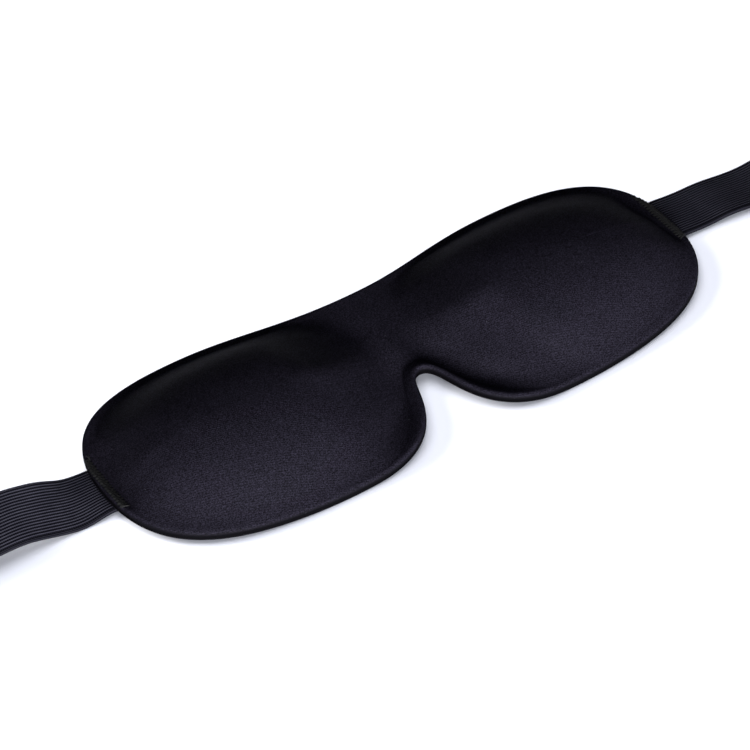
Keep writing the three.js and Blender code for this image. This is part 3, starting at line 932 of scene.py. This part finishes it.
def bartack(side_name):
    low, high = TACK_LOW, TACK_HIGH
    passes = [
        zigzag(low[0] + 0.7, high[0] + 0.9, low[1], high[1], 0.0, 1),
        zigzag(low[0] + 2.0, high[0] + 1.0, low[1] + 0.3, high[1] - 0.2, 0.3, 1),
    ]
    rear_low = STRAP_Y - STRAP_HALF_WIDTH + 0.6
    rear_high = STRAP_Y + STRAP_HALF_WIDTH - 0.6
    passes.append(zigzag(low[0] + 0.3, high[0] - 0.3, rear_low, rear_high, 0.0, -1))
    passes.append(zigzag(low[0] + 0.5, high[0] - 0.2, rear_low, rear_high, 0.7, -1))
    parts = [tubes([path], THREAD_RADIUS) for path in passes]
    loose = [
        thread_end(TACK_X - 0.6, high[1] - 0.6, (-0.6, 2.2, 0.5), 1),
        thread_end(TACK_X - 0.6, high[1] - 0.6, (0.5, 1.7, 0.9), 1),
        thread_end(TACK_X, rear_low, (0.8, -2.0, 0.3), -1),
    ]
    parts.append(tubes(loose, THREAD_RADIUS / 2))
    points, faces = joined(parts)
    if side_name == "left":
        points = points * [-1, 1, 1]
        faces = [face[::-1] for face in faces]
    made = piece(f"{side_name}_bartack_thread", points, faces, TACK_THREAD, "thread")
    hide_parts(f"{side_name}_bartack")
    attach(made, "mask")


bartack("left")
bartack("right")

# ---- Closure patches ----

STITCH_LENGTH = 2.7
STITCH_GAP = 0.35
SEAM_INSET = 2.0
TAPE_GROUND = 0.45
HOOK_SPACING = (1.5, 1.45)
LOOP_SPACING = (1.0, 0.95)


def tape_ground(name, low, high, z_low, z_high, material, slot):
    """A thin woven tape with soft rounded edges and a slight ripple."""
    xs = np.linspace(low[0], high[0], 60)
    ys = np.linspace(low[1], high[1], 18)
    x, y = np.meshgrid(xs, ys, indexing="ij")
    edge = np.minimum.reduce([x - low[0], high[0] - x, y - low[1], high[1] - y])
    thin = 0.35 * (z_high - z_low) * np.clip(1 - edge / 0.8, 0, 1) ** 2
    ripple = 0.04 * np.sin(x * 0.9) * np.sin(y * 0.7 + 0.5)
    sides = (z_high - thin + ripple, z_low + thin + ripple * 0.3)
    points = np.vstack([np.column_stack([x.ravel(), y.ravel(), z.ravel()]) for z in sides])
    index = np.arange(x.size).reshape(x.shape)
    quads = np.stack([index[:-1, :-1], index[1:, :-1], index[1:, 1:], index[:-1, 1:]], axis=-1).reshape(-1, 4)
    border = np.r_[index[:-1, 0], index[-1, :-1], index[:0:-1, -1], index[0, :0:-1]]
    following = np.roll(border, -1)
    wall = np.column_stack([following, border, border + x.size, following + x.size])
    made = piece(name, points, np.vstack([quads, quads[:, ::-1] + x.size, wall]), material, slot)
    subdivide(made, 1)
    return made


def scattered(low, high, spacing, jitter):
    """Jittered places on a staggered lattice inside a patch, clear of its seam."""
    xs = np.arange(low[0] + 1.0, high[0] - 0.9, spacing[0])
    ys = np.arange(low[1] + 0.9, high[1] - 0.8, spacing[1])
    x, y = np.meshgrid(xs, ys, indexing="ij")
    x = (x + (np.arange(len(ys)) % 2) * spacing[0] / 2 + RANDOM.normal(0, jitter, x.shape)).ravel()
    y = (y + RANDOM.normal(0, jitter, y.shape)).ravel()
    inset = np.minimum.reduce([x - low[0], high[0] - x, y - low[1], high[1] - y])
    clear = np.abs(inset - SEAM_INSET) > 0.75
    return x[clear], y[clear]


def standing_strands(x, y, turn, out, lean, z, radius, sides):
    """Strands that bend in upright planes turned about Z, moved sideways out of the plane by lean."""
    cosine, sine = np.cos(turn)[:, None], np.sin(turn)[:, None]
    px = x[:, None] + out * cosine - lean * sine
    py = y[:, None] + out * sine + lean * cosine
    paths = np.stack([px, py, np.broadcast_to(z, px.shape)], axis=-1)
    return tubes(paths, radius, sides, np.column_stack([-sine, cosine, np.zeros(len(x))]))


def hook_strands(low, high, base_z, drop):
    """Small hooks that hang from the tape, each curling back at its tip."""
    x, y = scattered(low, high, HOOK_SPACING, 0.06)
    share = np.linspace(0, 1, 9)
    turn = RANDOM.normal(0, 0.35, len(x)) + np.pi * (np.arange(len(x)) % 2)
    out = 0.34 * (1 - np.cos(share * 1.55 * np.pi)) * smoothstep(0.15, 0.6, share)
    down = drop * np.sin(np.clip(share * 1.35, 0, 1) * np.pi / 2) - 0.4 * smoothstep(0.72, 1.0, share)
    return standing_strands(x, y, turn, out[None, :], np.zeros((1, 9)), base_z - down[None, :], 0.11, 5)


def loop_strands(low, high, base_z, rise):
    """Brushed loops that stand on the tape and lean every way."""
    x, y = scattered(low, high, LOOP_SPACING, 0.18)
    angle = np.linspace(-0.25, np.pi + 0.25, 9)
    turn = RANDOM.uniform(0, 2 * np.pi, len(x))
    size = RANDOM.uniform(0.75, 1.1, len(x))[:, None]
    lean = RANDOM.normal(0, 0.35, len(x))[:, None]
    out = 0.5 * size * np.cos(angle)
    up = rise * size * np.sin(angle)
    return standing_strands(x, y, turn, out, lean * up, base_z + up, 0.10, 4)


def seam_stitches(low, high, z, face):
    """Lockstitches round a rectangle: each dives at both ends."""
    corners = [(low[0], low[1]), (high[0], low[1]), (high[0], high[1]), (low[0], high[1])]
    share = np.linspace(0, 1, 9)
    height = z + face * (0.32 * np.sin(np.pi * share) ** 0.5 - 0.3)
    paths = []
    for start, end in zip(corners, corners[1:] + corners[:1]):
        start, end = np.array(start), np.array(end)
        count = round(np.linalg.norm(end - start) / (STITCH_LENGTH + STITCH_GAP))
        for k in range(count):
            along = (k + 0.06 + 0.88 * share) / count
            xy = start + (end - start) * along[:, None] + RANDOM.normal(0, 0.05, 2)
            paths.append(np.column_stack([xy, height]))
    return paths


def patch_seam(name, node, low, high, face_z, back_z, face, body):
    """Stitching of one patch: the box on its face and the same box on the strap's other side."""
    inner_low, inner_high = low[:2] + SEAM_INSET, high[:2] - SEAM_INSET
    front = seam_stitches(inner_low, inner_high, face_z, face)
    back = seam_stitches(inner_low, inner_high, back_z, -face)
    points, faces = tubes(front + back, 0.2)
    made = piece(name, points, faces, SEAM_THREAD, "thread")
    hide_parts(node)
    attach(made, body)


def patch_pieces(node, body, made):
    for one in made:
        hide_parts(node)
        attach(one, body)


def build_hook_patch():
    low, high = box_mm("hook_patch")
    ground_z = high[2] - TAPE_GROUND
    ground = tape_ground("hook_patch_tape", low, high, ground_z, high[2], HOOK_TAPE, "hook_tape")
    points, faces = hook_strands(low, high, ground_z + 0.1, ground_z - low[2] - 0.1)
    hooks = piece("hook_patch_hooks", points, faces, HOOK_NYLON, "hook_tape")
    patch_pieces("hook_patch", "left_strap_end", [ground, hooks])
    web_top = box_mm("left_strap_tab")[1][2]
    seam = ("hook_patch_thread", "hook_patch_stitching", low, high)
    patch_seam(*seam, ground_z, web_top, -1, "left_strap_end")


def build_loop_patch():
    low, high = box_mm("loop_patch")
    ground_z = low[2] + TAPE_GROUND
    ground = tape_ground("loop_patch_tape", low, high, low[2], ground_z, LOOP_TAPE, "loop_tape")
    points, faces = loop_strands(low, high, ground_z, high[2] - ground_z - 0.15)
    loops = piece("loop_patch_pile", points, faces, LOOP_YARN, "loop_tape")
    patch_pieces("loop_patch", "right_strap_end", [ground, loops])
    web_under = box_mm("right_strap_tab")[0][2]
    seam = ("loop_patch_thread", "loop_patch_stitching", low, high)
    patch_seam(*seam, ground_z, web_under, 1, "right_strap_end")


build_hook_patch()
build_loop_patch()

# ---- Floor, light and camera ----

FLOOR_HALF = 6.0
MARKER_Z = 0.003


def floor_look():
    look = Look("pale_floor")
    place = look.node("ShaderNodeTexCoord", {}).outputs["Object"]
    grain = look.noise(place, 9.0, 3.0)
    return look.finish(
        Base_Color=look.mix(grain, rgb(0.86, 0.87, 0.92), rgb(0.90, 0.91, 0.95)),
        Roughness=0.9,
        Specular_IOR_Level=0.1,
    )


def strap_tip_marker(side):
    """An empty on the strap's free end. The floor reads its height."""
    low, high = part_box(f"{side}_strap_tab")
    marker = bpy.data.objects.new(f"{side}_tip_marker", None)
    bpy.context.scene.collection.objects.link(marker)
    marker.location = (low.x if side == "left" else high.x, STRAP_Y * MM, MARKER_Z)
    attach(marker, f"{side}_strap_end")
    return marker


def build_floor():
    """A floor that sinks when a folded strap hangs below the mask, so that no pose cuts through it."""
    corners = [(-FLOOR_HALF, -FLOOR_HALF, 0), (FLOOR_HALF, -FLOOR_HALF, 0)]
    corners += [(FLOOR_HALF, FLOOR_HALF, 0), (-FLOOR_HALF, FLOOR_HALF, 0)]
    mesh = bpy.data.meshes.new("floor")
    mesh.from_pydata(corners, [], [(0, 1, 2, 3)])
    mesh.materials.append(floor_look())
    floor = bpy.data.objects.new("floor", mesh)
    bpy.context.scene.collection.objects.link(floor)
    driver = floor.driver_add("location", 2).driver
    for name, side in (("a", "left"), ("b", "right")):
        variable = driver.variables.new()
        variable.name = name
        variable.type = "TRANSFORMS"
        target = variable.targets[0]
        target.id = strap_tip_marker(side)
        target.transform_type = "LOC_Z"
        target.transform_space = "WORLD_SPACE"
    driver.expression = f"min(0, a - {MARKER_Z}, b - {MARKER_Z})"


def area_light(name, place, size, power, colour, lit=None):
    """A softbox aimed at the mask. lit, when given, is the only collection that it lights."""
    lamp = bpy.data.lights.new(name, "AREA")
    lamp.shape = "RECTANGLE"
    lamp.size, lamp.size_y = size
    lamp.energy = power
    lamp.color = colour
    made = bpy.data.objects.new(name, lamp)
    bpy.context.scene.collection.objects.link(made)
    made.location = place
    made.rotation_euler = (-Vector(place)).to_track_quat("-Z", "Y").to_euler()
    made.light_linking.receiver_collection = lit


def lit_collection(name, members):
    """A collection outside the scene that says what a softbox lights."""
    made = bpy.data.collections.new(name)
    for member in members:
        made.objects.link(member)
    return made


def build_lights():
    """A front softbox for the cloth, three for the floor and its shadows, and a weak one for both."""
    meshes = [obj for obj in bpy.context.scene.objects if obj.type == "MESH"]
    cloth = lit_collection("lit_by_front", [obj for obj in meshes if obj.name != "floor"])
    floor = lit_collection("lit_by_back", [obj for obj in meshes if obj.name == "floor"])
    area_light("front_softbox", (-0.50, -1.42, 0.34), (1.2, 0.6), 70, (1.0, 1.0, 1.0), cloth)
    area_light("back_softbox", (-1.15, 0.95, 0.75), (0.9, 0.7), 32, (1.0, 0.99, 0.97), floor)
    area_light("floor_overhead", (-0.2, 0.1, 1.4), (1.5, 1.2), 18, (0.92, 0.94, 1.0), floor)
    area_light("floor_front", (-0.5, -1.2, 0.9), (1.3, 0.8), 16, (0.92, 0.94, 1.0), floor)
    area_light("overhead", (0.1, 0.0, 1.4), (0.9, 0.9), 1.5, (0.96, 0.97, 1.0))


def build_world(seen, cast):
    """A pale surround that the camera sees and a dimmer one that lights the object."""
    world = bpy.data.worlds.new("studio")
    bpy.context.scene.world = world
    world.use_nodes = True
    tree = world.node_tree
    mix = tree.nodes.new("ShaderNodeMix")
    mix.data_type = "RGBA"
    mix.inputs[6].default_value = cast
    mix.inputs[7].default_value = seen
    path = tree.nodes.new("ShaderNodeLightPath")
    tree.links.new(path.outputs["Is Camera Ray"], mix.inputs[0])
    tree.links.new(mix.outputs[2], tree.nodes["Background"].inputs["Color"])


VIEW_AZIMUTH = math.radians(-34.285)
VIEW_ELEVATION = math.radians(45.05)
VIEW_DISTANCE = 1.2172
VIEW_TARGET = Vector((-0.0099, 0.0012, -0.0004))
VIEW_LENS = 171.16


def build_camera():
    back = Vector((
        math.sin(VIEW_AZIMUTH) * math.cos(VIEW_ELEVATION),
        -math.cos(VIEW_AZIMUTH) * math.cos(VIEW_ELEVATION),
        math.sin(VIEW_ELEVATION),
    ))
    lens = bpy.data.cameras.new("camera")
    lens.lens = VIEW_LENS
    lens.sensor_width = 36
    lens.clip_end = 50
    camera = bpy.data.objects.new("camera", lens)
    bpy.context.scene.collection.objects.link(camera)
    camera.location = VIEW_TARGET + back * VIEW_DISTANCE
    camera.rotation_euler = (-back).to_track_quat("-Z", "Y").to_euler()
    bpy.context.scene.camera = camera


build_floor()
build_world(rgb(1.0, 1.0, 1.0), rgb(0.02, 0.02, 0.03))
build_lights()
build_camera()
bpy.context.scene.view_settings.view_transform = "Standard"
